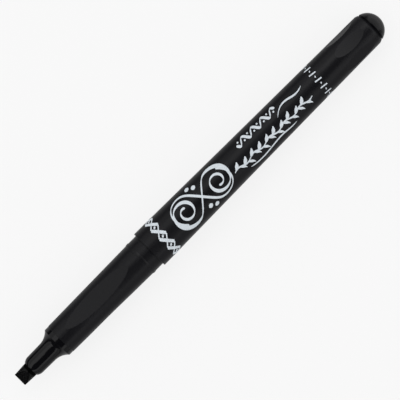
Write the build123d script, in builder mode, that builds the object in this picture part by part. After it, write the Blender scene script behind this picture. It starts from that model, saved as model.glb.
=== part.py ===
"""Felt-tip calligraphy marker without its cap.

The pen's axis is the X axis, with the nib towards -X and the writing edge level, its broad side up
(+Z). The origin is on the axis, at the middle of the pen's length. Each moulding or insert is one
solid in its own STEP file. Millimetres throughout.
"""

import os
from math import cos, radians, sin, sqrt

from build123d import *

# ---------------------------------------------------------------- driving dimensions
# Lengths along the axis, outside.
nib_reach = 3.9  # nib in front of the nose
nose_length = 10.35  # nose cone in front of the grip section
grip_length = 30.8  # grip section in front of the barrel
barrel_length = 77.35
plug_head_length = 3.55  # end plug behind the barrel

# Fibre pieces.
nib_radius = 2.0
nib_length = 28.0
nib_edge_width = 3.62
nib_edge_thickness = 0.9
nib_bevel_length = 2.85
nib_tail_chamfer = 0.5
reservoir_radius = 2.95
film_thickness = 0.1

# Clearances.
film_clearance = 0.01  # film round the fibre core
reservoir_clearance = 0.05  # reservoir between its ribs
nib_clearance = 0.05  # nib between its ribs, and in the reservoir
push_clearance = 0.02  # pieces that push into each other, and the faces they stop against

# Walls, counted from the cavity that holds the reservoir.
rib_height = 0.14  # reservoir ribs at their lowest
grip_front_wall = 1.13
grip_rear_wall = 1.48
neck_wall = 1.51
spigot_wall = 1.05
barrel_mouth_wall = 1.03
barrel_tail_wall = 1.24
barrel_hollow = 0.05  # how far the barrel's outline dips below a straight taper
barrel_bore_growth = 0.62  # main bore, wider at its front than at the end plug

# Nose cone.
nib_vent = 0.2  # air channel round the nib
nib_rib_count = 6
nib_rib_width = 0.5
nose_wall = 0.48
nose_taper = 0.07  # growth in radius from the front round to the flare
nose_lip_wall = 0.14
nose_lip_depth = 0.6
nose_round_radius = 2.45
nose_tube_length = 5.6  # front round and straight part together
nose_flare_radius = 4.6
flange_length = 1.35
flange_step = 0.06  # how far the flange lies inside the grip's front edge
nose_spigot_wall = 0.85
nose_spigot_length = 5.8
nose_spigot_step = 0.25  # nose spigot outside the cavity
nose_pocket_inset = 0.4  # pocket's front behind the flange's front
rib_root = 0.1  # how deep a rib's root is sunk in its wall

# Grip section.
grip_edge_chamfer = 0.05
grip_facet_count = 3
grip_facet_half_angle = 29.5
grip_facet_half_length = 10.7
grip_facet_offset = 13.6  # facet's middle behind the nose cone's seam
facet_roll = 12.0  # first facet turned from straight up towards +Y
bead_width = 1.1
bead_height = 0.14
neck_length = 2.45
spigot_length = 12.0
spigot_relief = 0.15  # how far a spigot is turned down between its rings
ring_width = 1.3
ring_inset = 1.7  # middle of a spigot's end ring from the spigot's end
spigot_ring_count = 3
web_thickness = 1.6  # wall across the grip section that the reservoir stands against
web_hole_clearance = 0.15
web_vent_count = 3
web_vent_width = 0.9
web_vent_reach = 0.7  # air slots outside the hole in the web

# Barrel.
reservoir_rib_count = 6
reservoir_rib_width = 0.7
rib_lead = 1.5  # ribs stop this far short of a spigot
bore_relief = 0.5  # free length of bore past a spigot
mouth_edge_radius = 0.18
tail_facet_count = 6
tail_facet_half_angle = 22.6
tail_facet_half_length = 4.85
tail_facet_inset = 6.95  # facet's middle in front of the barrel's end
tail_round_length = 1.0
tail_round_drop = 0.29
facet_side_allowance = 1.15  # facet cutter, wider than the facet

# End plug.
plug_depth = 7.5  # collar and spigot inside the barrel
collar_depth = 1.3
collar_step = 0.2  # collar outside the cavity
groove_width = 0.38
groove_depth = 0.22  # below the barrel's rounded rim
dome_step = 0.15  # dome's sphere inside the barrel's tail
dome_edge_radius = 0.12
plug_wall = 0.8
plug_dome_thickness = 1.8
plug_ring_count = 2
plug_web_width = 0.8

# ---------------------------------------------------------------- places along the axis
overall_length = nib_reach + nose_length + grip_length + barrel_length + plug_head_length
x_tip = -overall_length / 2
x_nose = x_tip + nib_reach
x_seam = x_nose + nose_length
x_mouth = x_seam + grip_length
x_rim = x_mouth + barrel_length
x_tail = x_rim + plug_head_length
x_nib_end = x_tip + nib_length
x_nose_end = x_seam + nose_spigot_length
x_web_front = x_nose_end + push_clearance
x_web_back = x_web_front + web_thickness
x_spigot_end = x_mouth + spigot_length
x_bore_front = x_spigot_end + bore_relief
x_counterbore = x_rim - collar_depth
x_plug_end = x_rim - plug_depth
x_plug_head = x_rim + groove_width
x_reservoir_front = x_web_back + push_clearance
x_reservoir_back = x_plug_end - push_clearance

# ---------------------------------------------------------------- radii
film_inner_radius = reservoir_radius + film_clearance
film_outer_radius = film_inner_radius + film_thickness
rib_crest_radius = film_outer_radius + reservoir_clearance
cavity_radius = rib_crest_radius + rib_height
grip_front_radius = cavity_radius + grip_front_wall
grip_rear_radius = cavity_radius + grip_rear_wall
neck_radius = cavity_radius + neck_wall
spigot_radius = cavity_radius + spigot_wall
spigot_bore_radius = spigot_radius + push_clearance
barrel_mouth_radius = spigot_bore_radius + barrel_mouth_wall
barrel_tail_radius = cavity_radius + barrel_tail_wall
bore_front_radius = cavity_radius + barrel_bore_growth
nib_hole_radius = nib_radius + nib_clearance
nose_bore_radius = nib_radius + nib_vent
nose_front_radius = nose_bore_radius + nose_wall
nose_rear_radius = nose_front_radius + nose_taper
nose_edge_radius = nib_hole_radius + nose_lip_wall
nose_spigot_radius = cavity_radius + nose_spigot_step
nose_pocket_radius = nose_spigot_radius - nose_spigot_wall
flange_radius = grip_front_radius - flange_step
collar_radius = cavity_radius + collar_step
dome_radius = barrel_tail_radius - dome_step
groove_floor_radius = barrel_tail_radius - tail_round_drop - groove_depth
plug_spigot_radius = cavity_radius - push_clearance
plug_bore_radius = plug_spigot_radius - spigot_relief - plug_wall
web_hole_radius = nib_radius + web_hole_clearance


def arc_run(radius, drop):
    """Length along its tangent over which an arc falls by a drop."""
    return sqrt(radius**2 - (radius - drop) ** 2)


def arc_drop(radius, run):
    """How far an arc falls from its tangent over a length along it."""
    return radius - sqrt(radius**2 - run**2)


def ringed_spigot(x_start, x_end, radius, count):
    """Outline points of a spigot that touches its bore only at a few rings."""
    low_radius = radius - spigot_relief
    first = x_start + ring_inset
    pitch = (x_end - x_start - 2 * ring_inset) / (count - 1)
    points = [(x_start, low_radius)]
    for number in range(count):
        middle = first + number * pitch
        points.append((middle - ring_width / 2 - spigot_relief, low_radius))
        points.append((middle - ring_width / 2, radius))
        points.append((middle + ring_width / 2, radius))
        points.append((middle + ring_width / 2 + spigot_relief, low_radius))
    points.append((x_end, low_radius))
    return points


def around_axis(piece, count, roll=0.0):
    """Copies of a piece at even steps round the pen's axis."""
    with BuildPart(mode=Mode.PRIVATE) as ring:
        for number in range(count):
            add(piece, rotation=(roll + number * 360 / count, 0, 0))
    return ring.part


def ribs(outline, width, count):
    """Ribs round the axis, each drawn above it in the side view."""
    with BuildPart(mode=Mode.PRIVATE) as rib:
        with BuildSketch(Plane.XZ):
            with BuildLine():
                Polyline(*outline, close=True)
            make_face()
        extrude(amount=width / 2, both=True)
    return around_axis(rib.part, count)


def facet_cutters(count, x_middle, surface_radius, slope, half_angle, half_length):
    """Cutters for flats round a tapering body, each slightly hollow along its length.

    A flat spans half_angle of the body each way at its middle and runs out after half_length. The
    cutter is set back along the axis so that the taper leaves the flat even about x_middle.
    """
    depth = surface_radius * (1 - cos(radians(half_angle)))
    cutter_radius = (half_length**2 + depth**2) / (2 * depth)
    half_width = surface_radius * sin(radians(half_angle)) * facet_side_allowance
    with BuildPart(mode=Mode.PRIVATE) as cutter:
        with BuildSketch(Plane.XZ):
            with Locations((x_middle - slope * cutter_radius, surface_radius - depth + cutter_radius)):
                Circle(cutter_radius)
        extrude(amount=half_width, both=True)
    return around_axis(cutter.part, count, -facet_roll)


os.makedirs("parts", exist_ok=True)

# ---------------------------------------------------------------- nib
# A round rod of bonded fibre, cut to a chisel by two bevels and narrowed to the writing edge.
with BuildPart() as nib:
    with BuildSketch(Plane.YZ.offset(x_tip)):
        Circle(nib_radius)
    extrude(amount=nib_length)
    chamfer(nib.edges().sort_by(Axis.X)[-1], nib_tail_chamfer)
    with BuildSketch(Plane.XZ):
        with BuildLine():
            Polyline(
                (x_tip, -nib_edge_thickness / 2),
                (x_tip, nib_edge_thickness / 2),
                (x_tip + nib_bevel_length, nib_radius),
                (x_nib_end, nib_radius),
                (x_nib_end, -nib_radius),
                (x_tip + nib_bevel_length, -nib_radius),
                close=True,
            )
        make_face()
    extrude(amount=nib_radius, both=True, mode=Mode.INTERSECT)
    with BuildSketch(Plane.XY):
        with BuildLine():
            Polyline(
                (x_tip, -nib_edge_width / 2),
                (x_tip, nib_edge_width / 2),
                (x_nose, nib_radius),
                (x_nib_end, nib_radius),
                (x_nib_end, -nib_radius),
                (x_nose, -nib_radius),
                close=True,
            )
        make_face()
    extrude(amount=nib_radius, both=True, mode=Mode.INTERSECT)
nib.part.label = "nib"
export_step(nib.part, "parts/nib.step")

# ---------------------------------------------------------------- nose cone
# The polished tube round the nib, which flares to a flange and pushes into the grip section.
x_round_end = x_nose + arc_run(nose_round_radius, nose_front_radius - nose_edge_radius)
x_flare = x_nose + nose_tube_length
x_flange = x_seam - flange_length
flare_end_radius = nose_rear_radius + arc_drop(nose_flare_radius, x_flange - x_flare)
x_lip = x_nose + nose_lip_depth
x_pocket = x_flange + nose_pocket_inset
x_pocket_front = x_pocket - (nose_pocket_radius - nose_bore_radius)
with BuildPart() as nose_cone:
    with BuildSketch(Plane.XZ):
        with BuildLine():
            front_round = RadiusArc(
                (x_nose, nose_edge_radius), (x_round_end, nose_front_radius), nose_round_radius
            )
            tube = Line(front_round @ 1, (x_flare, nose_rear_radius))
            flare = RadiusArc(tube @ 1, (x_flange, flare_end_radius), -nose_flare_radius)
            Polyline(
                flare @ 1,
                (x_flange + flange_radius - flare_end_radius, flange_radius),
                (x_seam, flange_radius),
                (x_seam, nose_spigot_radius),
                (x_nose_end, nose_spigot_radius),
                (x_nose_end, nose_pocket_radius),
                (x_pocket, nose_pocket_radius),
                (x_pocket_front, nose_bore_radius),
                (x_lip, nose_bore_radius),
                (x_lip, nib_hole_radius),
                (x_nose, nib_hole_radius),
                front_round @ 0,
            )
        make_face()
    revolve(axis=Axis.X)
    add(
        ribs(
            [
                (x_lip, nib_hole_radius),
                (x_lip, nose_bore_radius + rib_root),
                (x_pocket_front, nose_bore_radius + rib_root),
                (x_pocket, nose_pocket_radius + rib_root),
                (x_nose_end, nose_pocket_radius + rib_root),
                (x_nose_end, nib_hole_radius),
            ],
            nib_rib_width,
            nib_rib_count,
        )
    )
nose_cone.part.label = "nose_cone"
export_step(nose_cone.part, "parts/nose_cone.step")

# ---------------------------------------------------------------- grip section
# The satin front moulding: three finger flats, a snap bead and neck for the cap, and the ringed
# spigot that pushes into the barrel.
x_neck = x_mouth - neck_length
x_bead = x_neck - bead_width
grip_slope = (grip_rear_radius - grip_front_radius) / (x_bead - x_seam)
x_grip_facet = x_seam + grip_facet_offset
grip_facet_radius = grip_front_radius + grip_slope * grip_facet_offset
with BuildPart() as grip_section:
    with BuildSketch(Plane.XZ):
        with BuildLine():
            front = Polyline(
                (x_seam, grip_front_radius - grip_edge_chamfer),
                (x_seam + grip_edge_chamfer, grip_front_radius),
                (x_bead, grip_rear_radius),
            )
            bead = ThreePointArc(
                front @ 1,
                (x_bead + bead_width / 2, grip_rear_radius + bead_height),
                (x_neck, neck_radius),
            )
            Polyline(
                bead @ 1,
                (x_mouth, neck_radius),
                *ringed_spigot(x_mouth, x_spigot_end, spigot_radius, spigot_ring_count),
                (x_spigot_end, cavity_radius),
                (x_web_back, cavity_radius),
                (x_web_back, web_hole_radius),
                (x_web_front, web_hole_radius),
                (x_web_front, nose_spigot_radius + push_clearance),
                (x_seam, nose_spigot_radius + push_clearance),
                front @ 0,
            )
        make_face()
    revolve(axis=Axis.X)
    add(
        facet_cutters(
            grip_facet_count,
            x_grip_facet,
            grip_facet_radius,
            grip_slope,
            grip_facet_half_angle,
            grip_facet_half_length,
        ),
        mode=Mode.SUBTRACT,
    )
    with BuildSketch(Plane.YZ.offset(x_web_front)):
        with PolarLocations(web_hole_radius, web_vent_count):
            SlotCenterToCenter(2 * (web_vent_reach - web_vent_width / 2), web_vent_width)
    extrude(amount=web_thickness, mode=Mode.SUBTRACT)
    add(
        ribs(
            [
                (x_web_back, rib_crest_radius),
                (x_web_back, cavity_radius + rib_root),
                (x_spigot_end, cavity_radius + rib_root),
                (x_spigot_end, rib_crest_radius),
            ],
            reservoir_rib_width,
            reservoir_rib_count,
        )
    )
grip_section.part.label = "grip_section"
export_step(grip_section.part, "parts/grip_section.step")

# ---------------------------------------------------------------- barrel
# The long satin tube, widest at its mouth, with six short flats and a rounded rim at the tail.
x_tail_round = x_rim - tail_round_length
barrel_slope = (barrel_tail_radius - barrel_mouth_radius) / (x_tail_round - x_mouth)
x_tail_facet = x_rim - tail_facet_inset
tail_facet_radius = barrel_tail_radius + barrel_slope * (x_tail_facet - x_tail_round)
bore_slope = (cavity_radius - bore_front_radius) / (x_plug_end - x_bore_front)
x_rib_front = x_bore_front + rib_lead
x_rib_back = x_plug_end - rib_lead
with BuildPart() as barrel:
    with BuildSketch(Plane.XZ):
        with BuildLine():
            outline = Bezier(
                (x_mouth, barrel_mouth_radius),
                (
                    (x_mouth + x_tail_round) / 2,
                    (barrel_mouth_radius + barrel_tail_radius) / 2 - 2 * barrel_hollow,
                ),
                (x_tail_round, barrel_tail_radius),
            )
            tail_round = TangentArc(
                outline @ 1,
                (x_rim, barrel_tail_radius - tail_round_drop),
                tangent=outline % 1,
            )
            Polyline(
                tail_round @ 1,
                (x_rim, collar_radius + push_clearance),
                (x_counterbore, collar_radius + push_clearance),
                (x_counterbore, cavity_radius),
                (x_plug_end, cavity_radius),
                (x_bore_front, bore_front_radius),
                (x_bore_front, spigot_bore_radius),
                (x_mouth, spigot_bore_radius),
                outline @ 0,
            )
        make_face()
    revolve(axis=Axis.X)
    fillet(barrel.edges().group_by(Axis.X)[0].sort_by(SortBy.RADIUS)[-1], mouth_edge_radius)
    add(
        facet_cutters(
            tail_facet_count,
            x_tail_facet,
            tail_facet_radius,
            barrel_slope,
            tail_facet_half_angle,
            tail_facet_half_length,
        ),
        mode=Mode.SUBTRACT,
    )
    add(
        ribs(
            [
                (x_rib_front, rib_crest_radius),
                (x_rib_front, cavity_radius + bore_slope * (x_rib_front - x_plug_end) + rib_root),
                (x_rib_back, cavity_radius + bore_slope * (x_rib_back - x_plug_end) + rib_root),
                (x_rib_back, rib_crest_radius),
            ],
            reservoir_rib_width,
            reservoir_rib_count,
        )
    )
barrel.part.label = "barrel"
export_step(barrel.part, "parts/barrel.step")

# ---------------------------------------------------------------- end plug
# A polished dome on a ringed spigot. Its neck stands against the barrel's rim and leaves a groove.
x_dome_centre = x_tail - dome_radius
head_radius = sqrt(dome_radius**2 - (x_plug_head - x_dome_centre) ** 2)
x_plug_floor = x_tail - plug_dome_thickness
with BuildPart() as end_plug:
    with BuildSketch(Plane.XZ) as plug_half:
        with BuildLine():
            dome = RadiusArc((x_plug_head, head_radius), (x_tail, 0), dome_radius)
            Polyline(
                dome @ 1,
                (x_plug_floor, 0),
                (x_plug_floor, plug_bore_radius),
                (x_plug_end, plug_bore_radius),
                *reversed(
                    [
                        (x_counterbore + x_plug_end - x, radius)
                        for x, radius in ringed_spigot(
                            x_plug_end, x_counterbore, plug_spigot_radius, plug_ring_count
                        )
                    ]
                ),
                (x_counterbore, collar_radius),
                (x_rim + push_clearance, collar_radius),
                (x_rim + push_clearance, groove_floor_radius),
                (x_plug_head, groove_floor_radius),
                dome @ 0,
            )
        make_face()
        fillet(plug_half.vertices().sort_by(Axis.Y)[-1], dome_edge_radius)
    revolve(axis=Axis.X)
    with BuildSketch(Plane.YZ.offset(x_plug_end)):
        with PolarLocations(0, 2, angular_range=180):
            Rectangle(2 * (plug_bore_radius + rib_root), plug_web_width)
    extrude(amount=x_plug_floor - x_plug_end)
end_plug.part.label = "end_plug"
export_step(end_plug.part, "parts/end_plug.step")

# ---------------------------------------------------------------- ink reservoir
# A rod of bonded fibre that holds the ink. The nib's tail sits in a socket in its front end.
with BuildPart() as ink_reservoir:
    with BuildSketch(Plane.YZ.offset(x_reservoir_front)):
        Circle(reservoir_radius)
    extrude(amount=x_reservoir_back - x_reservoir_front)
    with BuildSketch(Plane.YZ.offset(x_reservoir_front)):
        Circle(nib_hole_radius)
    extrude(amount=x_nib_end + push_clearance - x_reservoir_front, mode=Mode.SUBTRACT)
ink_reservoir.part.label = "ink_reservoir"
export_step(ink_reservoir.part, "parts/ink_reservoir.step")

# ---------------------------------------------------------------- reservoir film
# The clear plastic film wrapped round the fibre, open at both ends.
with BuildPart() as reservoir_film:
    with BuildSketch(Plane.YZ.offset(x_reservoir_front)):
        Circle(film_outer_radius)
        Circle(film_inner_radius, mode=Mode.SUBTRACT)
    extrude(amount=x_reservoir_back - x_reservoir_front)
reservoir_film.part.label = "reservoir_film"
export_step(reservoir_film.part, "parts/reservoir_film.step")

# ---------------------------------------------------------------- sizes
print(f"overall length {overall_length:.2f}, widest diameter {2 * barrel_mouth_radius:.2f}")
print(f"writing edge at x {x_tip:.3f}, nose {x_nose:.3f}, seam {x_seam:.3f}, mouth {x_mouth:.3f}")
print(f"neck from x {x_neck:.3f}, radius {neck_radius:.3f}; barrel ends at x {x_rim:.3f}")
print(f"spigot ends at x {x_spigot_end:.3f}, reservoir starts at x {x_reservoir_front:.3f}")
print(f"nib ends at x {x_nib_end:.3f}, plug ends at x {x_plug_end:.3f}")
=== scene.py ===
"""Looks of a felt-tip calligraphy marker without its cap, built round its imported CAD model.

The pen lies along X with its nib towards -X, on a pale sheet. It is put together from the nib
backwards. Lengths are in metres; mm turns millimetres into them.
"""

import math

import bmesh
import bpy
import numpy as np
from mathutils import Matrix, Vector


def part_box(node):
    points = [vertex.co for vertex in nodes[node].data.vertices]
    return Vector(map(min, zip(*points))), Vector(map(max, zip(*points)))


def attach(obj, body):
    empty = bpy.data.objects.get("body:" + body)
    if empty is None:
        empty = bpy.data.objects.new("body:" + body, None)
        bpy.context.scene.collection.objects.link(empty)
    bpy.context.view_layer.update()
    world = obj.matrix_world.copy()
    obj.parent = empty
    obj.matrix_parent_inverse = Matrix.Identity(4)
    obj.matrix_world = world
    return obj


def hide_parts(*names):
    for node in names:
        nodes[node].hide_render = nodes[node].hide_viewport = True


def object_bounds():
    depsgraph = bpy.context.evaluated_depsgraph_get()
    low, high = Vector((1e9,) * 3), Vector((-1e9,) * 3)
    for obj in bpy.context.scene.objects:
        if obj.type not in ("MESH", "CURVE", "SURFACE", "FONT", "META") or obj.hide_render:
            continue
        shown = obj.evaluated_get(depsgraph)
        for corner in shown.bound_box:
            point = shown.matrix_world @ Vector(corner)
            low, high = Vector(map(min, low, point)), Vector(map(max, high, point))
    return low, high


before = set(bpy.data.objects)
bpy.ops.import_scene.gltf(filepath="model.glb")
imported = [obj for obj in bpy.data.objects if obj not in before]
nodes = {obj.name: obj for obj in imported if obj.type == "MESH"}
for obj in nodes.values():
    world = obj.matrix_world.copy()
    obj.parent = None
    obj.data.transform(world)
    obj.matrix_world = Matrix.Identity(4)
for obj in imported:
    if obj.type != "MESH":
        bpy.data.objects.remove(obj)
cad_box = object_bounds()

# ---------------------------------------------------------------- camera
# It looks straight down on the pen from over the barrel's mouth, turned so that the pen runs from
# the lower left of the picture to its upper right.
mm = 0.001
camera_height = 468.5 * mm
camera_over_x = -16.5 * mm
focal_length = 171  # in millimetres, as the sensor's width is
sensor_width = 36
aim = Vector((-0.42 * mm, -0.23 * mm, 0))
pen_slant = math.radians(45.2)
camera_data = bpy.data.cameras.new("camera")
camera_data.lens = focal_length
camera_data.sensor_width = sensor_width
camera = bpy.data.objects.new("camera", camera_data)
scene = bpy.context.scene
scene.collection.objects.link(camera)
scene.camera = camera
eye = Vector((camera_over_x, aim.y, camera_height))
backward = (eye - aim).normalized()
up = Vector((math.sin(pen_slant), math.cos(pen_slant), 0))
right = up.cross(backward).normalized()
up = backward.cross(right)
turned = Matrix((right, up, backward)).transposed()
camera.matrix_world = Matrix.Translation(eye) @ turned.to_4x4()

# ---------------------------------------------------------------- sheet under the pen
# A wide sheet of white card. It glows a little, as a sheet lit from behind does, so that the pen
# throws next to no shadow; the pen's polish does not mirror it, and mirrors the dim room instead.
table_z = cad_box[0][2]
sheet_half = 10.0
sheet_glow = 0.83


def linear(colour):
    """A colour written as six sRGB hex digits, as linear red, green, blue and alpha."""
    channels = [int(colour[digit : digit + 2], 16) / 255 for digit in (0, 2, 4)]
    return [((c + 0.055) / 1.055) ** 2.4 if c > 0.04045 else c / 12.92 for c in channels] + [1.0]


def add_node(tree, kind, settings=None, links=None):
    """A node with its settings (attributes and input values) and its incoming links."""
    node = tree.nodes.new(kind)
    for key, value in (settings or {}).items():
        if isinstance(key, str) and hasattr(node, key):
            setattr(node, key, value)
        else:
            node.inputs[key].default_value = value
    for key, socket in (links or {}).items():
        tree.links.new(socket, node.inputs[key])
    return node


def new_material(name):
    """A material with an empty node tree, and that tree."""
    material = bpy.data.materials.new(name)
    material.use_nodes = True
    material.node_tree.nodes.clear()
    return material, material.node_tree


def sheen_near(tree, place, x_middle, half_width, fade, near, far):
    """A socket that is one value within a distance of a place along the pen, and another beyond."""
    parts = add_node(tree, "ShaderNodeSeparateXYZ", links={"Vector": place.outputs["Object"]})
    away = add_node(tree, "ShaderNodeMath", {"operation": "SUBTRACT", 1: x_middle}, {0: parts.outputs["X"]})
    distance = add_node(tree, "ShaderNodeMath", {"operation": "ABSOLUTE"}, {0: away.outputs["Value"]})
    sheen = add_node(
        tree,
        "ShaderNodeMapRange",
        {
            "interpolation_type": "SMOOTHSTEP",
            "From Min": half_width,
            "From Max": half_width + fade,
            "To Min": near,
            "To Max": far,
        },
        {"Value": distance.outputs["Value"]},
    )
    return sheen.outputs["Result"]


# Uncoated card: evenly pale, with no highlight anywhere.
card, tree = new_material("white_card")
card_shader = add_node(
    tree,
    "ShaderNodeBsdfPrincipled",
    {
        "Base Color": linear("5c5c5c"),
        "Roughness": 0.9,
        "Emission Color": linear("ffffff"),
        "Emission Strength": sheet_glow,
    },
)
add_node(tree, "ShaderNodeOutputMaterial", links={"Surface": card_shader.outputs["BSDF"]})
sheet_mesh = bpy.data.meshes.new("sheet")
corners = [
    (x * sheet_half, y * sheet_half, table_z) for x, y in ((-1, -1), (1, -1), (1, 1), (-1, 1))
]
sheet_mesh.from_pydata(corners, [], [(0, 1, 2, 3)])
sheet_mesh.materials.append(card)
sheet = bpy.data.objects.new("sheet", sheet_mesh)
scene.collection.objects.link(sheet)
sheet.visible_glossy = False

# ---------------------------------------------------------------- lamps
# Long soft boxes hang over both sides of the pen and leave a dark gap straight above it, which the
# black plastic shows as a dark band along its top. The plastic mirrors a room that is dim above and
# greyer below; behind the pen, the room itself is a pale backdrop.
box_distance = 0.9
box_nose_end = -2.2
box_tail_end = 0.75
tail_box_start = 0.1


def lamp_panel(name, place, turn, length, width, brightness):
    """A flat rectangular lamp that looks the same brightness from everywhere in front of it."""
    light = bpy.data.lights.new(name, "AREA")
    light.shape = "RECTANGLE"
    light.size = length
    light.size_y = width
    light.energy = brightness * math.pi * length * width
    lamp = bpy.data.objects.new(name, light)
    lamp.location = place
    lamp.rotation_euler = turn
    scene.collection.objects.link(lamp)
    return lamp


def soft_box(name, near_angle, far_angle, x_start, x_end, brightness):
    """A lamp along the pen, spanning two angles from straight up, positive over the +Y side."""
    middle = math.radians((near_angle + far_angle) / 2)
    spread = math.radians(abs(far_angle - near_angle))
    place = ((x_start + x_end) / 2, box_distance * math.sin(middle), box_distance * math.cos(middle))
    width = 2 * box_distance * math.tan(spread / 2)
    return lamp_panel(name, place, (-middle, 0, 0), x_end - x_start, width, brightness)


# Name, near and far angle in degrees, start and end along the pen, brightness.
for box in (
    ("left_box", 13, 44, box_nose_end, tail_box_start, 1.3),
    ("left_tail_box", 17, 44, tail_box_start, box_tail_end, 2.1),
    ("left_low_box", 44, 80, box_nose_end, box_tail_end, 0.85),
    ("right_box", -47, -66, box_nose_end, tail_box_start, 1.1),
    ("right_tail_box", -30, -66, tail_box_start, box_tail_end, 1.35),
    ("right_low_box", -66, -98, box_nose_end, box_tail_end, 0.5),
):
    soft_box(*box)

# A fill box in the gap lights the white ink and the sheet, and nothing mirrors it.
fill_box = soft_box("fill_box", 13, -38, box_nose_end, box_tail_end, 0.75)
fill_box.visible_glossy = False

# Two pale panels stand beyond the tail, for the dome and the bead to mirror; they add no other light.
# Each has its name, its angle from straight up and the angle it spans in degrees, and its brightness.
panel_length = 1.6
for name, angle, spread, panel_brightness in (
    ("tail_panel", 82, 46, 1.0),
    ("high_tail_panel", 44, 30, 0.75),
):
    lean = math.radians(angle)
    place = (box_distance * math.sin(lean), 0, box_distance * math.cos(lean))
    width = 2 * box_distance * math.tan(math.radians(spread) / 2)
    tail_panel = lamp_panel(name, place, (0, lean, 0), width, panel_length, panel_brightness)
    tail_panel.visible_diffuse = False

# The room fades from grey underneath to nearly dark at the pen's own level and above.
room_below = 0.58
room_above = 0.05
backdrop_brightness = 0.9
scene.view_settings.view_transform = "Standard"
world = bpy.data.worlds.new("dim_room")
world.use_nodes = True
scene.world = world
tree = world.node_tree
tree.nodes.clear()
direction = add_node(tree, "ShaderNodeTexCoord")
height = add_node(tree, "ShaderNodeSeparateXYZ", links={"Vector": direction.outputs["Generated"]})
room_brightness = add_node(
    tree,
    "ShaderNodeMapRange",
    {"From Min": -0.35, "From Max": -0.1, "To Min": room_below, "To Max": room_above},
    {"Value": height.outputs["Z"]},
)
ray = add_node(tree, "ShaderNodeLightPath")
backdrop = add_node(
    tree,
    "ShaderNodeMix",
    {"data_type": "FLOAT", "B": backdrop_brightness},
    {"Factor": ray.outputs["Is Camera Ray"], "A": room_brightness.outputs["Result"]},
)
sky = add_node(
    tree, "ShaderNodeBackground", {"Color": linear("ffffff")}, {"Strength": backdrop.outputs["Result"]}
)
add_node(tree, "ShaderNodeOutputWorld", links={"Surface": sky.outputs["Background"]})

# ---------------------------------------------------------------- nib
# A round rod of bonded polyester fibre cut to a chisel and soaked with black ink. The fibres run
# along it, so its faces are ribbed lengthwise, and its cut edges are soft from wear.
fibre_length = 3.0 * mm
fibre_width = 0.2 * mm  # real fibres are 0.03 mm: drawn coarser, so that they show
nib_grid = 0.1 * mm
nib_rib_depth = 0.04 * mm
merged_share = 0.02  # of a rod's grid: points nearer than this are one point
nib_shade_ring = 0.7 * mm  # bare nib in front of the nose cone where its reflection is cut, painting the shade of the nose's bore


def add_sockets(tree, rows):
    """The named inputs and outputs of a node group, and a table from each name to its identifier."""
    table = {}
    for name, kind, way in rows:
        socket = tree.interface.new_socket(name=name, in_out=way, socket_type="NodeSocket" + kind)
        table[name] = socket.identifier
    return table


# The rod's skin is pushed in along the gaps between its fibres.
fibre_ribs = bpy.data.node_groups.new("fibre_ribs", "GeometryNodeTree")
fibre_socket = add_sockets(
    fibre_ribs,
    (
        ("Rod", "Geometry", "INPUT"),
        ("Fibre Size", "Vector", "INPUT"),
        ("Rib Depth", "Float", "INPUT"),
        ("Fibre", "Material", "INPUT"),
        ("Ribbed Rod", "Geometry", "OUTPUT"),
    ),
)
given = add_node(fibre_ribs, "NodeGroupInput")
skin_place = add_node(fibre_ribs, "GeometryNodeInputPosition")
fibre_place = add_node(
    fibre_ribs,
    "ShaderNodeVectorMath",
    {"operation": "DIVIDE"},
    {0: skin_place.outputs["Position"], 1: given.outputs["Fibre Size"]},
)
ribs = add_node(
    fibre_ribs,
    "ShaderNodeTexNoise",
    {"Scale": 1.0, "Detail": 2.0, "Roughness": 0.5},
    {"Vector": fibre_place.outputs["Vector"]},
)
gap_depth = add_node(
    fibre_ribs,
    "ShaderNodeMapRange",
    {"From Min": 0.65, "From Max": 0.35, "To Min": 0.0, "To Max": -1.0},
    {"Value": ribs.outputs["Fac"]},
)
push = add_node(
    fibre_ribs,
    "ShaderNodeMath",
    {"operation": "MULTIPLY"},
    {0: gap_depth.outputs["Result"], 1: given.outputs["Rib Depth"]},
)
skin_normal = add_node(fibre_ribs, "GeometryNodeInputNormal")
inset = add_node(
    fibre_ribs,
    "ShaderNodeVectorMath",
    {"operation": "SCALE"},
    {0: skin_normal.outputs["Normal"], "Scale": push.outputs["Value"]},
)
ribbed = add_node(
    fibre_ribs,
    "GeometryNodeSetPosition",
    links={"Geometry": given.outputs["Rod"], "Offset": inset.outputs["Vector"]},
)
real_rod = add_node(
    fibre_ribs, "GeometryNodeRealizeInstances", links={"Geometry": ribbed.outputs["Geometry"]}
)
coloured = add_node(
    fibre_ribs,
    "GeometryNodeSetMaterial",
    links={"Geometry": real_rod.outputs["Geometry"], "Material": given.outputs["Fibre"]},
)
add_node(fibre_ribs, "NodeGroupOutput", links={"Ribbed Rod": coloured.outputs["Geometry"]})


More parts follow.
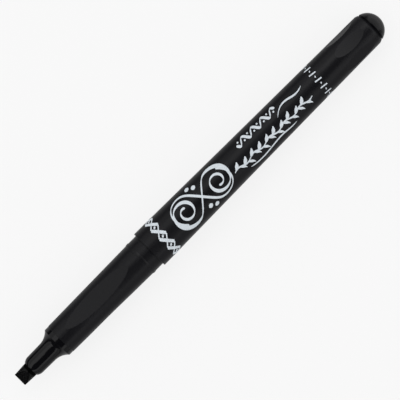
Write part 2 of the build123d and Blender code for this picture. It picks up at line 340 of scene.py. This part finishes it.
def fibre_rod(name, node_name, grid, worn_passes, fibre_size, rib_depth, fibre):
    """A ribbed fibre piece with worn edges, on a finer grid than the CAD rod that it stands for."""
    mesh = nodes[node_name].data.copy()
    shape = bmesh.new()
    shape.from_mesh(mesh)
    bmesh.ops.remove_doubles(shape, verts=shape.verts, dist=grid * merged_share)
    shape.to_mesh(mesh)
    shape.free()
    mesh.materials.clear()
    mesh.materials.append(fibre)
    piece = bpy.data.objects.new(name, mesh)
    scene.collection.objects.link(piece)
    regrid = piece.modifiers.new("grid", "REMESH")
    regrid.mode = "VOXEL"
    regrid.voxel_size = grid
    wear = piece.modifiers.new("wear", "SMOOTH")
    wear.iterations = worn_passes
    modifier = piece.modifiers.new("ribs", "NODES")
    modifier.node_group = fibre_ribs
    for socket_name, value in (("Fibre Size", fibre_size), ("Rib Depth", rib_depth), ("Fibre", fibre)):
        modifier[fibre_socket[socket_name]] = value
    ribbed_mesh = bpy.data.meshes.new_from_object(
        piece.evaluated_get(bpy.context.evaluated_depsgraph_get())
    )
    piece.modifiers.clear()
    piece.data = ribbed_mesh
    ribbed_mesh.name = name
    ribbed_mesh.shade_smooth()
    return piece


# Fibre so full of ink that it is nearly black, with a low sheen on its ribs. In a ring where it
# leaves the nose cone it mirrors nothing, as painted shade from the nose's bore.
nose_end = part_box("nose_cone")[0][0]
nib_fibre, tree = new_material("ink_soaked_bonded_polyester")
place = add_node(tree, "ShaderNodeTexCoord")
along = add_node(
    tree,
    "ShaderNodeMapping",
    {"Scale": (1 / fibre_length, 1 / fibre_width, 1 / fibre_width)},
    {"Vector": place.outputs["Object"]},
)
fibres = add_node(
    tree,
    "ShaderNodeTexNoise",
    {"Scale": 1.0, "Detail": 3.0, "Roughness": 0.6},
    {"Vector": along.outputs["Vector"]},
)
tone = add_node(
    tree,
    "ShaderNodeMix",
    {"data_type": "RGBA", "A": linear("010101"), "B": linear("050506")},
    {"Factor": fibres.outputs["Fac"]},
)
relief = add_node(
    tree, "ShaderNodeBump", {"Strength": 0.5, "Distance": 0.02 * mm}, {"Height": fibres.outputs["Fac"]}
)
# Painted shade: in a ring just in front of the nose cone the nib mirrors almost nothing.
sheen = sheen_near(
    tree, place, nose_end - nib_shade_ring / 2, nib_shade_ring / 2, fade=nib_shade_ring / 2, near=0.01, far=0.18
)
shader = add_node(
    tree,
    "ShaderNodeBsdfPrincipled",
    {"Roughness": 0.3, "IOR": 1.45},
    {
        "Base Color": tone.outputs["Result"],
        "Specular IOR Level": sheen,
        "Normal": relief.outputs["Normal"],
    },
)
add_node(tree, "ShaderNodeOutputMaterial", links={"Surface": shader.outputs["BSDF"]})
nib = fibre_rod(
    "nib_rod",
    "nib",
    grid=nib_grid,
    worn_passes=1,
    fibre_size=(fibre_length, fibre_width, fibre_width),
    rib_depth=nib_rib_depth,
    fibre=nib_fibre,
)
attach(nib, "nib")
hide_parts("nib")

# ---------------------------------------------------------------- nose cone
# The tube that carries the nib, moulded in black polypropylene against a polished steel cavity. It
# mirrors the lamps sharply, with a faint swell in the reflections where the wall has shrunk.
polished_sheen = 0.24
# How much a ring of painted shade still mirrors.
painted_shade_sheen = 0.02
smudge_gain = 1.6  # how much rougher the plastic is where it is smudged
noise_low = 0.3  # most of a noise pattern lies between these two
noise_high = 0.7


def polished_black(name, colour, smudge_size, swell_size, polish, shaded_ring=None):
    """Black plastic moulded against polished steel: clear reflections, faint smudges and swells.

    A ring of painted shade, given as its place along the pen, half its width and its fade,
    mirrors hardly anything.
    """
    material, tree = new_material(name)
    place = add_node(tree, "ShaderNodeTexCoord")
    smudges = add_node(
        tree,
        "ShaderNodeTexNoise",
        {"Scale": 1 / smudge_size, "Detail": 4.0},
        {"Vector": place.outputs["Object"]},
    )
    rough = add_node(
        tree,
        "ShaderNodeMapRange",
        {"From Min": noise_low, "From Max": noise_high, "To Min": polish, "To Max": smudge_gain * polish},
        {"Value": smudges.outputs["Fac"]},
    )
    swells = add_node(
        tree,
        "ShaderNodeTexNoise",
        {"Scale": 1 / swell_size, "Detail": 1.0},
        {"Vector": place.outputs["Object"]},
    )
    relief = add_node(
        tree, "ShaderNodeBump", {"Strength": 0.25, "Distance": 0.05 * mm}, {"Height": swells.outputs["Fac"]}
    )
    shader = add_node(
        tree,
        "ShaderNodeBsdfPrincipled",
        {"Base Color": linear(colour), "IOR": 1.5, "Specular IOR Level": polished_sheen},
        {"Roughness": rough.outputs["Result"], "Normal": relief.outputs["Normal"]},
    )
    # Painted shade: the reflection is cut almost to nothing inside the ring.
    if shaded_ring:
        sheen = sheen_near(tree, place, *shaded_ring, near=painted_shade_sheen, far=polished_sheen)
        tree.links.new(sheen, shader.inputs["Specular IOR Level"])
    add_node(tree, "ShaderNodeOutputMaterial", links={"Surface": shader.outputs["BSDF"]})
    return material


nose_black = polished_black(
    "polished_black_polypropylene", "08080b", smudge_size=3 * mm, swell_size=2.2 * mm, polish=0.09
)
nodes["nose_cone"].data.materials.clear()
nodes["nose_cone"].data.materials.append(nose_black)

# ---------------------------------------------------------------- grip section
# The front moulding with its finger flats, neck and ringed spigot, which pushes into the barrel. Its
# steel was finely spark eroded, so the black plastic comes out satin and spreads the lamps into
# soft bands.
grip_grain = 0.22 * mm  # real grain is 0.05 mm: drawn coarser, so that it shows
grip_patch = 2.5 * mm
flow_stretch = 5  # how much longer than wide an uneven patch is
satin_sheen = 0.16
satin_rough = 0.3
satin_roughest = 0.38


def satin_black(name, grain_size, patch_size, shaded_ring=None):
    """Black plastic moulded against spark-eroded steel: a fine grain, and an uneven satin sheen.

    The uneven patches are drawn out along the pen, as the plastic flowed. A ring of painted
    shade is given as for polished_black.
    """
    material, tree = new_material(name)
    place = add_node(tree, "ShaderNodeTexCoord")
    grain = add_node(
        tree,
        "ShaderNodeTexNoise",
        {"Scale": 1 / grain_size, "Detail": 2.0},
        {"Vector": place.outputs["Object"]},
    )
    relief = add_node(
        tree, "ShaderNodeBump", {"Strength": 0.5, "Distance": 0.02 * mm}, {"Height": grain.outputs["Fac"]}
    )
    flow = add_node(
        tree,
        "ShaderNodeMapping",
        {"Scale": (1 / (flow_stretch * patch_size), 1 / patch_size, 1 / patch_size)},
        {"Vector": place.outputs["Object"]},
    )
    patches = add_node(
        tree, "ShaderNodeTexNoise", {"Scale": 1.0, "Detail": 3.0}, {"Vector": flow.outputs["Vector"]}
    )
    rough = add_node(
        tree,
        "ShaderNodeMapRange",
        {"From Min": noise_low, "From Max": noise_high, "To Min": satin_rough, "To Max": satin_roughest},
        {"Value": patches.outputs["Fac"]},
    )
    tone = add_node(
        tree,
        "ShaderNodeMix",
        {"data_type": "RGBA", "A": linear("0f0f12"), "B": linear("151518")},
        {"Factor": patches.outputs["Fac"]},
    )
    shader = add_node(
        tree,
        "ShaderNodeBsdfPrincipled",
        {"IOR": 1.5, "Specular IOR Level": satin_sheen},
        {
            "Base Color": tone.outputs["Result"],
            "Roughness": rough.outputs["Result"],
            "Normal": relief.outputs["Normal"],
        },
    )
    # Painted shade: the reflection is cut almost to nothing inside the ring.
    if shaded_ring:
        sheen = sheen_near(tree, place, *shaded_ring, near=painted_shade_sheen, far=satin_sheen)
        tree.links.new(sheen, shader.inputs["Specular IOR Level"])
    add_node(tree, "ShaderNodeOutputMaterial", links={"Surface": shader.outputs["BSDF"]})
    return material


grip_black = satin_black("spark_eroded_black_polypropylene_grip", grip_grain, grip_patch)
nodes["grip_section"].data.materials.clear()
nodes["grip_section"].data.materials.append(grip_black)

# ---------------------------------------------------------------- ink reservoir
# The ink is held in a soft rod of bonded polyester fibre that fills the barrel's middle. It shows
# when the grip section is pulled off, and its fibres run along it as the nib's do.
bundle_length = 9.0 * mm
bundle_width = 0.35 * mm  # real fibres are 0.03 mm: drawn coarser, so that they show
bundle_grid = 0.17 * mm
bundle_rib_depth = 0.08 * mm

# Loose fibre takes up ink unevenly, so black streaks run through charcoal ones; its many ends
# scatter light and leave no reflection.
bundle_fibre, tree = new_material("ink_filled_soft_polyester")
place = add_node(tree, "ShaderNodeTexCoord")
along = add_node(
    tree,
    "ShaderNodeMapping",
    {"Scale": (1 / bundle_length, 1 / bundle_width, 1 / bundle_width)},
    {"Vector": place.outputs["Object"]},
)
streaks = add_node(
    tree,
    "ShaderNodeTexNoise",
    {"Scale": 1.0, "Detail": 4.0, "Roughness": 0.65},
    {"Vector": along.outputs["Vector"]},
)
tone = add_node(
    tree,
    "ShaderNodeMix",
    {"data_type": "RGBA", "A": linear("060607"), "B": linear("3a3a40")},
    {"Factor": streaks.outputs["Fac"]},
)
relief = add_node(
    tree, "ShaderNodeBump", {"Strength": 0.6, "Distance": 0.04 * mm}, {"Height": streaks.outputs["Fac"]}
)
shader = add_node(
    tree,
    "ShaderNodeBsdfPrincipled",
    {"Roughness": 0.85, "IOR": 1.45, "Specular IOR Level": 0.2, "Sheen Weight": 0.2},
    {"Base Color": tone.outputs["Result"], "Normal": relief.outputs["Normal"]},
)
add_node(tree, "ShaderNodeOutputMaterial", links={"Surface": shader.outputs["BSDF"]})
reservoir = fibre_rod(
    "reservoir_bundle",
    "ink_reservoir",
    grid=bundle_grid,
    worn_passes=2,
    fibre_size=(bundle_length, bundle_width, bundle_width),
    rib_depth=bundle_rib_depth,
    fibre=bundle_fibre,
)
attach(reservoir, "barrel")
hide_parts("ink_reservoir")

# ---------------------------------------------------------------- reservoir film
# A thin clear film is wound round the reservoir and heat-sealed, so that the soft rod keeps its
# shape. It wrinkles a little as it shrinks on.
wrinkle_length = 5.0 * mm
wrinkle_width = 1.2 * mm

# Clear polypropylene film: the fibre shows through, under narrow highlights that the wrinkles break.
clear_film, tree = new_material("clear_polypropylene_film")
place = add_node(tree, "ShaderNodeTexCoord")
across_film = add_node(
    tree,
    "ShaderNodeMapping",
    {"Scale": (1 / wrinkle_length, 1 / wrinkle_width, 1 / wrinkle_width)},
    {"Vector": place.outputs["Object"]},
)
wrinkles = add_node(
    tree, "ShaderNodeTexNoise", {"Scale": 1.0, "Detail": 2.0}, {"Vector": across_film.outputs["Vector"]}
)
clearness = add_node(
    tree,
    "ShaderNodeMapRange",
    {"From Min": noise_low, "From Max": noise_high, "To Min": 0.1, "To Max": 0.25},
    {"Value": wrinkles.outputs["Fac"]},
)
relief = add_node(
    tree, "ShaderNodeBump", {"Strength": 0.3, "Distance": 0.06 * mm}, {"Height": wrinkles.outputs["Fac"]}
)
shader = add_node(
    tree,
    "ShaderNodeBsdfPrincipled",
    {"Base Color": linear("101112"), "Roughness": 0.14, "IOR": 1.49, "Specular IOR Level": 0.6},
    {"Alpha": clearness.outputs["Result"], "Normal": relief.outputs["Normal"]},
)
add_node(tree, "ShaderNodeOutputMaterial", links={"Surface": shader.outputs["BSDF"]})
nodes["reservoir_film"].data.materials.clear()
nodes["reservoir_film"].data.materials.append(clear_film)

# ---------------------------------------------------------------- barrel
# The long tapered tube that holds the reservoir, moulded in the same black plastic as the grip
# section, with six short flats at its tail. Its steel was eroded slightly coarser. At the very rim
# its reflection is cut almost to nothing: painted shade from the groove next to the rim.
barrel_grain = 0.26 * mm  # real grain is 0.06 mm: drawn coarser, so that it shows
barrel_patch = 3.5 * mm
# Half the width and the fade of the rim's painted shade.
painted_rim_shade = 0.2 * mm
rim_shade_fade = 0.2 * mm
rim_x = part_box("barrel")[1][0]
barrel_black = satin_black(
    "spark_eroded_black_polypropylene_barrel", barrel_grain, barrel_patch, (rim_x, painted_rim_shade, rim_shade_fade)
)
nodes["barrel"].data.materials.clear()
nodes["barrel"].data.materials.append(barrel_black)

# ---------------------------------------------------------------- ink printed on the barrel
# White ink, screen-printed on the moulded barrel: two rings, a scroll, a wave and a vine, all drawn
# as a broad nib draws them, thick across its edge and thin along it. The ink stands just proud.
ink_film = 0.02 * mm
ink_layer = 0.004 * mm  # a stroke over another stroke stands this much prouder
ink_layers = 5
stroke_step = 0.12 * mm
points_across = 7  # a stroke's width, so that it bends round the barrel
weld_distance = 0.001 * mm
ray_start = 20 * mm  # from the axis, well outside the barrel

penwork = bpy.data.node_groups.new("penwork_on_barrel", "GeometryNodeTree")
penwork_socket = add_sockets(
    penwork,
    (
        ("Strokes", "Geometry", "INPUT"),
        ("Copies", "Int", "INPUT"),
        ("Copy Step", "Float", "INPUT"),
        ("Nib Edge", "Vector", "INPUT"),
        ("Hairline", "Float", "INPUT"),
        ("Taper", "Float", "INPUT"),
        ("Wrap Radius", "Float", "INPUT"),
        ("Barrel", "Object", "INPUT"),
        ("Ink", "Material", "INPUT"),
        ("Printed", "Geometry", "OUTPUT"),
    ),
)
given = add_node(penwork, "NodeGroupInput")

# The flat strokes are repeated round the barrel and cut into even steps.
copy_step = add_node(penwork, "ShaderNodeCombineXYZ", links={"Y": given.outputs["Copy Step"]})
copy_places = add_node(
    penwork,
    "GeometryNodeMeshLine",
    links={"Count": given.outputs["Copies"], "Offset": copy_step.outputs["Vector"]},
)
copies = add_node(
    penwork,
    "GeometryNodeInstanceOnPoints",
    links={"Points": copy_places.outputs["Mesh"], "Instance": given.outputs["Strokes"]},
)
all_strokes = add_node(
    penwork, "GeometryNodeRealizeInstances", links={"Geometry": copies.outputs["Instances"]}
)
stepped = add_node(
    penwork,
    "GeometryNodeResampleCurve",
    {"mode": "LENGTH", "Length": stroke_step},
    {"Curve": all_strokes.outputs["Geometry"]},
)
flat_strokes = add_node(
    penwork, "GeometryNodeSetCurveNormal", {"mode": "Z_UP"}, {"Curve": stepped.outputs["Curve"]}
)

# A stroke is as wide as the nib's edge seen along the stroke, and runs out at both ends.
heading = add_node(penwork, "GeometryNodeInputTangent")
across = add_node(
    penwork,
    "ShaderNodeVectorMath",
    {"operation": "CROSS_PRODUCT"},
    {0: heading.outputs["Tangent"], 1: given.outputs["Nib Edge"]},
)
edge_width = add_node(
    penwork, "ShaderNodeVectorMath", {"operation": "LENGTH"}, {0: across.outputs["Vector"]}
)
pressure = add_node(penwork, "GeometryNodeInputRadius")
full_width = add_node(
    penwork,
    "ShaderNodeMath",
    {"operation": "MULTIPLY_ADD"},
    {0: edge_width.outputs["Value"], 1: pressure.outputs["Radius"], 2: given.outputs["Hairline"]},
)
drawn = add_node(penwork, "GeometryNodeSplineParameter")
stroke_length = add_node(penwork, "GeometryNodeSplineLength")
to_go = add_node(
    penwork,
    "ShaderNodeMath",
    {"operation": "SUBTRACT"},
    {0: stroke_length.outputs["Length"], 1: drawn.outputs["Length"]},
)
to_end = add_node(
    penwork,
    "ShaderNodeMath",
    {"operation": "MINIMUM"},
    {0: drawn.outputs["Length"], 1: to_go.outputs["Value"]},
)
share = add_node(
    penwork,
    "ShaderNodeMapRange",
    {"From Min": 0.0, "To Min": 0.0, "To Max": 1.0},
    {"Value": to_end.outputs["Value"], "From Max": given.outputs["Taper"]},
)
swelling = add_node(penwork, "ShaderNodeMath", {"operation": "SQRT"}, {0: share.outputs["Result"]})
width = add_node(
    penwork,
    "ShaderNodeMath",
    {"operation": "MULTIPLY"},
    {0: full_width.outputs["Value"], 1: swelling.outputs["Value"]},
)
edge_line = add_node(
    penwork, "GeometryNodeCurvePrimitiveLine", {"Start": (-0.5, 0, 0), "End": (0.5, 0, 0)}
)
edge_points = add_node(
    penwork,
    "GeometryNodeResampleCurve",
    {"mode": "COUNT", "Count": points_across},
    {"Curve": edge_line.outputs["Curve"]},
)
ribbons = add_node(
    penwork,
    "GeometryNodeCurveToMesh",
    links={
        "Curve": flat_strokes.outputs["Curve"],
        "Profile Curve": edge_points.outputs["Curve"],
        "Scale": width.outputs["Value"],
    },
)

# The flat ribbons are rolled round the axis and dropped on the barrel along rays towards the axis.
flat_place = add_node(penwork, "GeometryNodeInputPosition")
flat_part = add_node(penwork, "ShaderNodeSeparateXYZ", links={"Vector": flat_place.outputs["Position"]})
turn = add_node(
    penwork,
    "ShaderNodeMath",
    {"operation": "DIVIDE"},
    {0: flat_part.outputs["Y"], 1: given.outputs["Wrap Radius"]},
)
sideways = add_node(penwork, "ShaderNodeMath", {"operation": "SINE"}, {0: turn.outputs["Value"]})
far_side = add_node(
    penwork, "ShaderNodeMath", {"operation": "MULTIPLY", 1: -1.0}, {0: sideways.outputs["Value"]}
)
upwards = add_node(penwork, "ShaderNodeMath", {"operation": "COSINE"}, {0: turn.outputs["Value"]})
outward = add_node(
    penwork,
    "ShaderNodeCombineXYZ",
    links={"Y": far_side.outputs["Value"], "Z": upwards.outputs["Value"]},
)
inward = add_node(
    penwork, "ShaderNodeVectorMath", {"operation": "SCALE", "Scale": -1.0}, {0: outward.outputs["Vector"]}
)
on_axis = add_node(penwork, "ShaderNodeCombineXYZ", links={"X": flat_part.outputs["X"]})
above = add_node(
    penwork,
    "ShaderNodeVectorMath",
    {"operation": "MULTIPLY_ADD", 1: (ray_start, ray_start, ray_start)},
    {0: outward.outputs["Vector"], 2: on_axis.outputs["Vector"]},
)
printed_on = add_node(penwork, "GeometryNodeObjectInfo", links={"Object": given.outputs["Barrel"]})
landing = add_node(
    penwork,
    "GeometryNodeRaycast",
    {"Ray Length": ray_start},
    {
        "Target Geometry": printed_on.outputs["Geometry"],
        "Source Position": above.outputs["Vector"],
        "Ray Direction": inward.outputs["Vector"],
    },
)
layer_lift = add_node(
    penwork,
    "ShaderNodeVectorMath",
    {"operation": "SCALE"},
    {0: outward.outputs["Vector"], "Scale": flat_part.outputs["Z"]},
)
layered = add_node(
    penwork,
    "ShaderNodeVectorMath",
    {"operation": "ADD"},
    {0: landing.outputs["Hit Position"], 1: layer_lift.outputs["Vector"]},
)
laid = add_node(
    penwork,
    "GeometryNodeSetPosition",
    links={"Geometry": ribbons.outputs["Mesh"], "Position": layered.outputs["Vector"]},
)

# The laid ribbons get the ink's thickness and are closed underneath.
laid_place = add_node(penwork, "GeometryNodeInputPosition")
from_axis = add_node(
    penwork,
    "ShaderNodeVectorMath",
    {"operation": "MULTIPLY", 1: (0, 1, 1)},
    {0: laid_place.outputs["Position"]},
)
lift = add_node(
    penwork, "ShaderNodeVectorMath", {"operation": "NORMALIZE"}, {0: from_axis.outputs["Vector"]}
)
thick_ink = add_node(
    penwork,
    "GeometryNodeExtrudeMesh",
    {"mode": "FACES", "Individual": False, "Offset Scale": ink_film},
    {"Mesh": laid.outputs["Geometry"], "Offset": lift.outputs["Vector"]},
)
underside = add_node(penwork, "GeometryNodeFlipFaces", links={"Mesh": laid.outputs["Geometry"]})
closed = add_node(penwork, "GeometryNodeJoinGeometry", links={"Geometry": thick_ink.outputs["Mesh"]})
penwork.links.new(underside.outputs["Mesh"], closed.inputs["Geometry"])
welded = add_node(
    penwork,
    "GeometryNodeMergeByDistance",
    {"Distance": weld_distance},
    {"Geometry": closed.outputs["Geometry"]},
)
real_ink = add_node(
    penwork, "GeometryNodeRealizeInstances", links={"Geometry": welded.outputs["Geometry"]}
)
inked = add_node(
    penwork,
    "GeometryNodeSetMaterial",
    links={"Geometry": real_ink.outputs["Geometry"], "Material": given.outputs["Ink"]},
)
add_node(penwork, "NodeGroupOutput", links={"Printed": inked.outputs["Geometry"]})

# Opaque white ink, dried with a soft sheen and a little uneven where the screen's threads held it
# back.
ink_mottle = 0.4 * mm  # a real screen leaves 0.1 mm marks: drawn coarser, so that they show
white_ink, tree = new_material("screen_printed_white_ink")
place = add_node(tree, "ShaderNodeTexCoord")
mottle = add_node(
    tree, "ShaderNodeTexNoise", {"Scale": 1 / ink_mottle, "Detail": 2.0}, {"Vector": place.outputs["Object"]}
)
tone = add_node(
    tree,
    "ShaderNodeMix",
    {"data_type": "RGBA", "A": linear("ced6dd"), "B": linear("e9f0f6")},
    {"Factor": mottle.outputs["Fac"]},
)
relief = add_node(
    tree, "ShaderNodeBump", {"Strength": 0.2, "Distance": 0.005 * mm}, {"Height": mottle.outputs["Fac"]}
)
shader = add_node(
    tree,
    "ShaderNodeBsdfPrincipled",
    {"Roughness": 0.45, "IOR": 1.5, "Specular IOR Level": 0.3},
    {"Base Color": tone.outputs["Result"], "Normal": relief.outputs["Normal"]},
)
add_node(tree, "ShaderNodeOutputMaterial", links={"Surface": shader.outputs["BSDF"]})


def printed(
    name,
    x_middle,
    strokes,
    nib_width,
    hairline,
    taper,
    wrap_radius,
    nib_slant=42,
    copies=1,
    first_layer=0,
):
    """Penwork printed on the barrel, with its middle at a place along the pen.

    A stroke is a list of points in millimetres, along the pen and round it from the top towards -Y,
    each with its pen pressure. It is a hairline where the nib's edge, slanted by so many degrees,
    runs along it, and it runs out over the taper at both ends. Copies are spread evenly round the
    whole barrel.
    """
    curve = bpy.data.curves.new(name, "CURVE")
    curve.dimensions = "3D"
    curve.materials.append(white_ink)
    for number, points in enumerate(strokes):
        layer = ink_layer * (first_layer + number % ink_layers)
        spline = curve.splines.new("NURBS")
        spline.points.add(len(points) - 1)
        for point, (along, around, pen_pressure) in zip(spline.points, points):
            point.co = (x_middle + along * mm, around * mm, layer, 1)
            point.radius = pen_pressure
        spline.order_u = min(4, len(points))
        spline.use_endpoint_u = True
    flat = bpy.data.objects.new(name + "_flat", curve)
    scene.collection.objects.link(flat)
    modifier = flat.modifiers.new("penwork", "NODES")
    modifier.node_group = penwork
    slant = math.radians(nib_slant)
    for socket_name, value in (
        ("Copies", copies),
        ("Copy Step", 2 * math.pi * wrap_radius / copies),
        ("Nib Edge", (nib_width * math.cos(slant), -nib_width * math.sin(slant), 0)),
        ("Hairline", hairline),
        ("Taper", taper),
        ("Wrap Radius", wrap_radius),
        ("Barrel", nodes["barrel"]),
        ("Ink", white_ink),
    ):
        modifier[penwork_socket[socket_name]] = value
    mesh = bpy.data.meshes.new_from_object(flat.evaluated_get(bpy.context.evaluated_depsgraph_get()))
    bpy.data.objects.remove(flat)
    mesh.name = name
    shape = bmesh.new()
    shape.from_mesh(mesh)
    bmesh.ops.recalc_face_normals(shape, faces=shape.faces)
    shape.to_mesh(mesh)
    shape.free()
    piece = bpy.data.objects.new(name, mesh)
    scene.collection.objects.link(piece)
    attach(piece, "barrel")


mouth_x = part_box("barrel")[0][0]

# A chain of lozenges round the mouth's end.
chain_x = mouth_x + 4.7 * mm
chain_radius = 5.2 * mm
chain_count = 11
link_half = 1.2
link_round = math.pi * chain_radius / chain_count / mm  # half a lozenge's width round the barrel
lozenge_chain = [
    [(-link_half, 0, 1), (0, link_round, 1)],
    [(link_half, 0, 1), (0, -link_round, 1)],
    [(-link_half, 0, 1), (0, -link_round, 1)],
    [(link_half, 0, 1), (0, link_round, 1)],
    [(-0.2, -0.2, 0.9), (0.2, 0.2, 0.9)],
]
printed(
    "print_lozenge_chain",
    chain_x,
    lozenge_chain,
    nib_width=0.62 * mm,
    hairline=0.22 * mm,
    taper=0.12 * mm,
    wrap_radius=chain_radius,
    copies=chain_count,
)

# A double scroll: one heavy stroke that winds in at both ends, and a light one across it.
scroll_x = mouth_x + 18.3 * mm
scroll_radius = 5.05 * mm
volute_middle = 5.5
volute_radius = 4.75
volute_start = -115  # degrees round the volute's middle
volute_step = 35
volute_halving = 300  # degrees of winding that halve the volute's radius
volute_fading = 700  # degrees of winding that would take all the pen's pressure
least_pressure = 0.45
diamond_half = 0.42
diamond_places = ((0, 3.3), (0, -3.3), (-1.5, -4.3), (1.5, 4.3))


def half_scroll(turn_end, pen_pressure):
    """Points from the scroll's middle out and round its right-hand volute, winding inwards."""
    points = [(1.4, -1.6, pen_pressure)]
    for angle in range(volute_start, turn_end + 1, volute_step):
        wound = angle - volute_start
        radius = volute_radius * 0.5 ** (wound / volute_halving)
        turn = math.radians(angle)
        pressure_there = pen_pressure * max(least_pressure, 1 - wound / volute_fading)
        along = volute_middle + radius * math.cos(turn)
        points.append((along, radius * math.sin(turn), pressure_there))
    return points


heavy = half_scroll(turn_end=480, pen_pressure=1.0)
light = half_scroll(turn_end=60, pen_pressure=0.42)
heavy_stroke = [(-x, -y, p) for x, y, p in reversed(heavy)] + heavy
light_stroke = [(-x, y, p) for x, y, p in reversed(light)] + [(x, -y, p) for x, y, p in light]
scroll_diamonds = [
    [(x - diamond_half, y - diamond_half, 1), (x + diamond_half, y + diamond_half, 1)]
    for x, y in diamond_places
]
printed(
    "print_double_scroll",
    scroll_x,
    [heavy_stroke, light_stroke] + scroll_diamonds,
    nib_width=1.05 * mm,
    hairline=0.22 * mm,
    taper=0.3 * mm,
    wrap_radius=scroll_radius,
)

# A wave with a dot in each hollow.
wave_x = mouth_x + 39.6 * mm
vine_radius = 4.9 * mm
wave_middle = -2.9
wave_height = 0.95
wave_length = 3.3
wave_waves = 4
wave_half = wave_length * wave_waves / 2
wave_points = 65
wave_dot_height = 0.5
wave_dot_half = 0.2
wave_dot_pressure = 0.75


def waving(x, length, height_of_wave):
    """How far a wave of this length and height stands from its middle line at a place along it."""
    return height_of_wave * math.sin(2 * math.pi * x / length)


wave = [
    (x, wave_middle + waving(x, wave_length, wave_height), 1)
    for x in np.linspace(-wave_half, wave_half, wave_points)
]
wave_dots = []
for number in range(2 * wave_waves):
    x = -wave_half + (number + 0.5) * wave_length / 2
    y = wave_middle - waving(x, wave_length, wave_dot_height)
    wave_dots.append(
        [
            (x - wave_dot_half, y - wave_dot_half, wave_dot_pressure),
            (x + wave_dot_half, y + wave_dot_half, wave_dot_pressure),
        ]
    )
printed(
    "print_wave",
    wave_x,
    [wave] + wave_dots,
    nib_width=0.62 * mm,
    hairline=0.18 * mm,
    taper=0.3 * mm,
    wrap_radius=vine_radius,
)

# A leafy stem that waves under its leaves, with two long sweeps beside it.
vine_x = mouth_x + 41.5 * mm
vine_middle = 1.75
vine_half = 13.5
vine_length = 5.4
vine_height = 0.4
vine_points = 61
leaf_count = 20
leaf_start = 0.6  # bare stem before the first leaf
leaf_margin = 0.9  # bare stem at each end that the leaves' spacing allows for
leaf_slant = 100  # degrees, so that a leaf swells in its middle
leaf_shape = ((0, 0), (0.6, 0.25), (1.3, 0.9), (1.5, 1.55))
stem = [
    (x, vine_middle + waving(x, vine_length, vine_height), 1)
    for x in np.linspace(-vine_half, vine_half, vine_points)
]
leaves = []
for number in range(leaf_count):
    x = -vine_half + leaf_start + number * 2 * (vine_half - leaf_margin) / leaf_count
    y = vine_middle + waving(x, vine_length, vine_height)
    side = 1 if number % 2 else -1
    leaves.append([(x + dx, y + side * dy, 1) for dx, dy in leaf_shape])
sweeps = [
    [(-9.5, 3.7, 0.4), (-6.5, 4.7, 1.0), (-2, 3.9, 1.3), (2.5, 3.4, 1.0), (5, 4.3, 0.6), (6.5, 3.9, 0.4)],
    [(3.5, -0.4, 0.4), (5.5, -2.4, 1.0), (8.5, -2.6, 1.3), (11, -1.1, 1.0), (13.2, -2.2, 0.5)],
]
printed(
    "print_stem",
    vine_x,
    [stem],
    nib_width=0.3 * mm,
    hairline=0.16 * mm,
    taper=0.5 * mm,
    wrap_radius=vine_radius,
    first_layer=ink_layers,
)
printed(
    "print_leaves",
    vine_x,
    leaves,
    nib_width=0.85 * mm,
    hairline=0.2 * mm,
    taper=0.95 * mm,
    wrap_radius=vine_radius,
    nib_slant=leaf_slant,
)
printed(
    "print_sweeps",
    vine_x,
    sweeps,
    nib_width=0.42 * mm,
    hairline=0.16 * mm,
    taper=1.0 * mm,
    wrap_radius=vine_radius,
)

# Ticks and dots round the tail's end.
tick_x = mouth_x + 58.7 * mm
tick_radius = 4.72 * mm
tick_count = 14
tick_and_dot = [
    [(-1.05, -0.15, 1), (1.05, 0.15, 1)],
    [(-0.16, 0.95, 1.6), (0.16, 1.15, 1.6)],
]
printed(
    "print_tick_ring",
    tick_x,
    tick_and_dot,
    nib_width=0.26 * mm,
    hairline=0.16 * mm,
    taper=0.1 * mm,
    wrap_radius=tick_radius,
    copies=tick_count,
)

# ---------------------------------------------------------------- end plug
# The domed plug that is pushed in to close the barrel, moulded in the nose cone's plastic with a
# duller polish. Its groove, next to the barrel's rim, and the foot of its dome mirror hardly
# anything: painted shade from the groove.
# Half the width and the fade of the painted shade at the groove.
painted_groove_shade = 0.22 * mm
groove_shade_fade = 0.55 * mm
plug_black = polished_black(
    "dull_polished_black_polypropylene_plug",
    "08080b",
    smudge_size=4 * mm,
    swell_size=3 * mm,
    polish=0.2,
    shaded_ring=(rim_x, painted_groove_shade, groove_shade_fade),
)
nodes["end_plug"].data.materials.clear()
nodes["end_plug"].data.materials.append(plug_black)
